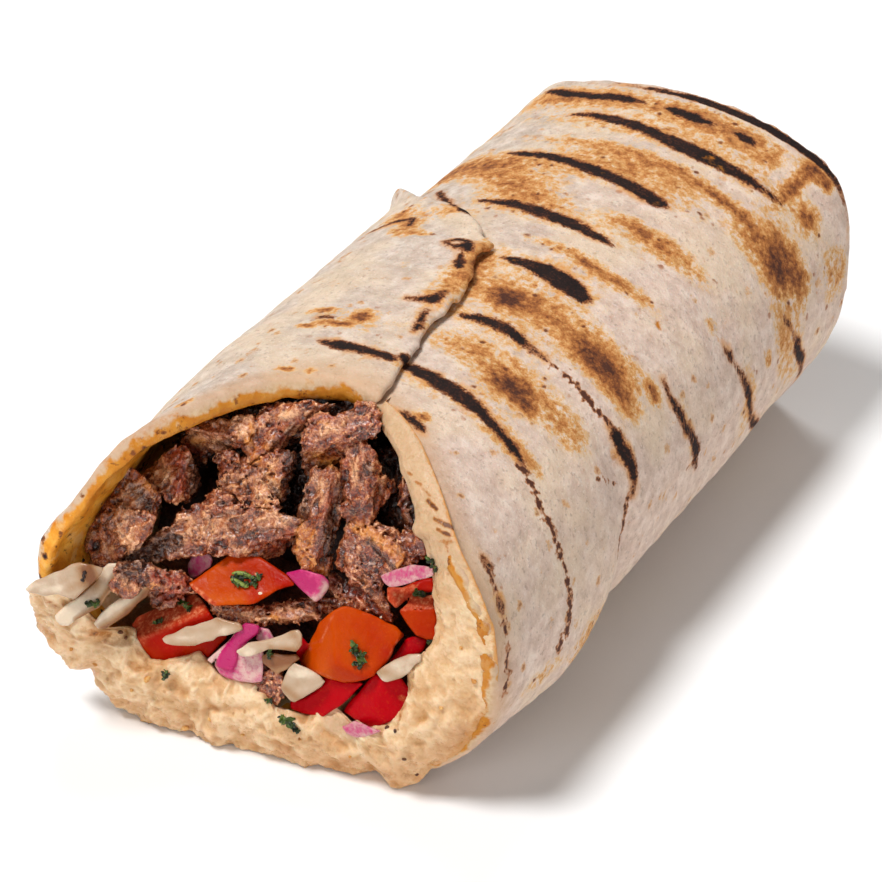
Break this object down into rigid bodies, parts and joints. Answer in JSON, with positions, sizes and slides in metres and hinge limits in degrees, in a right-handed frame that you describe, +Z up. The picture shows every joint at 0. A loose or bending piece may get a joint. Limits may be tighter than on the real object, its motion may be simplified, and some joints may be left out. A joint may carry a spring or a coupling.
{
  "type": "saj wrap",
  "caption": "Grilled flatbread rolled round beef strips, diced tomato, onion, cabbage and hummus, open at one end and folded shut at the other.",
  "frame": {"origin": "middle of the underside, on the surface that the wrap rests on", "axes": "the roll lies along Y with its open mouth at -Y and its folded end at +Y, +Z up"},
  "size_m": [0.077, 0.1524, 0.0566],
  "materials": {
    "bread": "matt griddled flatbread with dark grill marks and brown toasting",
    "hummus": "soft, lumpy and slightly moist",
    "beef": "grilled meat, fibrous, with an oily sheen",
    "salad": "moist chopped salad",
    "tomato": "wet cut tomato",
    "onion": "moist red onion",
    "cabbage": "moist pale cabbage"
  },
  "bodies": {
    "root": {"flatbread": "bread", "hummus": "hummus", "beef_filling": "beef", "salad_filling": "salad", "beef_strip_1": "beef", "beef_strip_2": "beef", "beef_strip_3": "beef", "beef_strip_4": "beef", "beef_strip_5": "beef", "beef_strip_6": "beef", "beef_strip_7": "beef", "beef_strip_8": "beef", "beef_strip_9": "beef", "beef_strip_10": "beef", "beef_strip_11": "beef", "beef_strip_12": "beef", "beef_strip_13": "beef", "tomato_dice_1": "tomato", "tomato_dice_2": "tomato", "tomato_dice_3": "tomato", "tomato_dice_4": "tomato", "tomato_dice_5": "tomato", "tomato_dice_6": "tomato", "tomato_dice_7": "tomato", "onion_piece_1": "onion", "onion_piece_2": "onion", "onion_piece_3": "onion", "onion_piece_4": "onion", "onion_piece_5": "onion", "cabbage_strip_1": "cabbage", "cabbage_strip_2": "cabbage", "cabbage_strip_3": "cabbage", "cabbage_strip_4": "cabbage", "cabbage_strip_5": "cabbage", "cabbage_strip_6": "cabbage", "cabbage_strip_7": "cabbage"}
  },
  "joints": []
}
